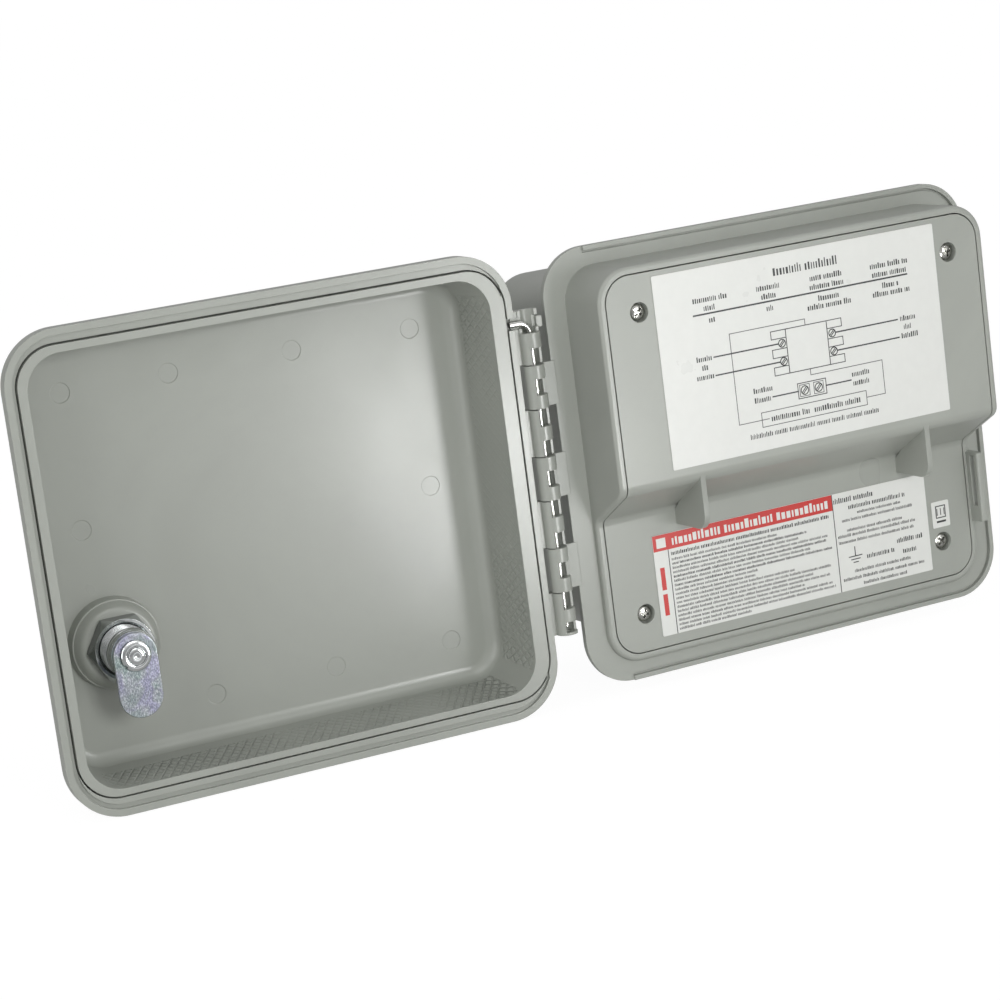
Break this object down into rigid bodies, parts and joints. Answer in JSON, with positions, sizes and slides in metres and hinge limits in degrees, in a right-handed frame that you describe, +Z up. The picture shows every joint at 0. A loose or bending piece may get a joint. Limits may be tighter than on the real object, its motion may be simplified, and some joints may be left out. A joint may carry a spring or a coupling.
{
  "type": "wall-mounted relay enclosure",
  "caption": "Grey plastic wall enclosure with a hinged locking door, stepped inner cover with blank-style printed labels, and a switching relay on a plate inside",
  "frame": {"origin": "centre of the back face of the box, on the wall", "axes": "+X to the right seen from the front, +Y into the wall, +Z up"},
  "size_m": [0.3856, 0.095, 0.1728],
  "materials": {
    "grey_plastic": "moulded polycarbonate, satin, light grey-green",
    "printed_label": "white printed film",
    "black_plastic": "moulded, black",
    "gasket": "black foam rubber cord",
    "chrome": "bright chrome plate",
    "zinc": "bluish bright zinc plate",
    "steel": "zinc-plated steel",
    "copper": "copper, enamelled wire on the winding",
    "brass": "bright brass",
    "aluminium": "extruded, plain",
    "yellow_wire": "PVC wire insulation"
  },
  "bodies": {
    "enclosure": {"base_box": "grey_plastic", "inner_cover": "grey_plastic", "cover_screw_1": "steel", "cover_screw_2": "steel", "cover_screw_3": "steel", "cover_screw_4": "steel", "label_diagram": "printed_label", "label_rating": "printed_label", "label_symbol": "printed_label", "mounting_plate": "steel", "plate_screw_1": "steel", "plate_screw_2": "steel", "plate_screw_3": "steel", "plate_screw_4": "steel", "relay_base": "black_plastic", "relay_screw_1": "steel", "relay_screw_2": "steel", "iron_core": "steel", "coil_bobbin": "black_plastic", "coil_winding": "copper", "terminal_1": "brass", "terminal_2": "brass", "terminal_3": "brass", "terminal_4": "brass", "terminal_screw_1": "steel", "terminal_screw_2": "steel", "terminal_screw_3": "steel", "terminal_screw_4": "steel", "return_spring_1": "steel", "return_spring_2": "steel", "ground_bar": "aluminium", "ground_screw_1": "brass", "ground_screw_2": "brass", "coil_lead_1": "yellow_wire", "coil_lead_2": "yellow_wire"},
    "carriage": {"armature": "steel", "contact_carrier": "black_plastic", "contact_bridge_1": "copper", "contact_bridge_2": "copper"},
    "door": {"door": "grey_plastic", "door_gasket": "gasket", "hinge_pin": "steel", "lock_body": "chrome", "lock_nut": "chrome"},
    "lock": {"lock_plug": "zinc", "lock_washer": "chrome", "lock_cam": "zinc", "cam_screw": "chrome"}
  },
  "joints": [
    {"name": "door_hinge", "type": "hinge", "parent": "enclosure", "child": "door", "pos_m": [-0.0999, -0.0703, 0], "axis": [0, 0, 1], "range_deg": [-2.5, 182.46]},
    {"name": "lock_turn", "type": "hinge", "parent": "door", "child": "lock", "pos_m": [-0.26142, -0.05796, -0.032], "axis": [0.0429, 0.9991, 0], "range_deg": [0, 90]},
    {"name": "relay_pull_in", "type": "slide", "parent": "enclosure", "child": "carriage", "axis": [0, 1, 0], "range_m": [0, 0.003], "stiffness_N_per_m": 150, "deforming": ["return_spring_1", "return_spring_2"]}
  ]
}
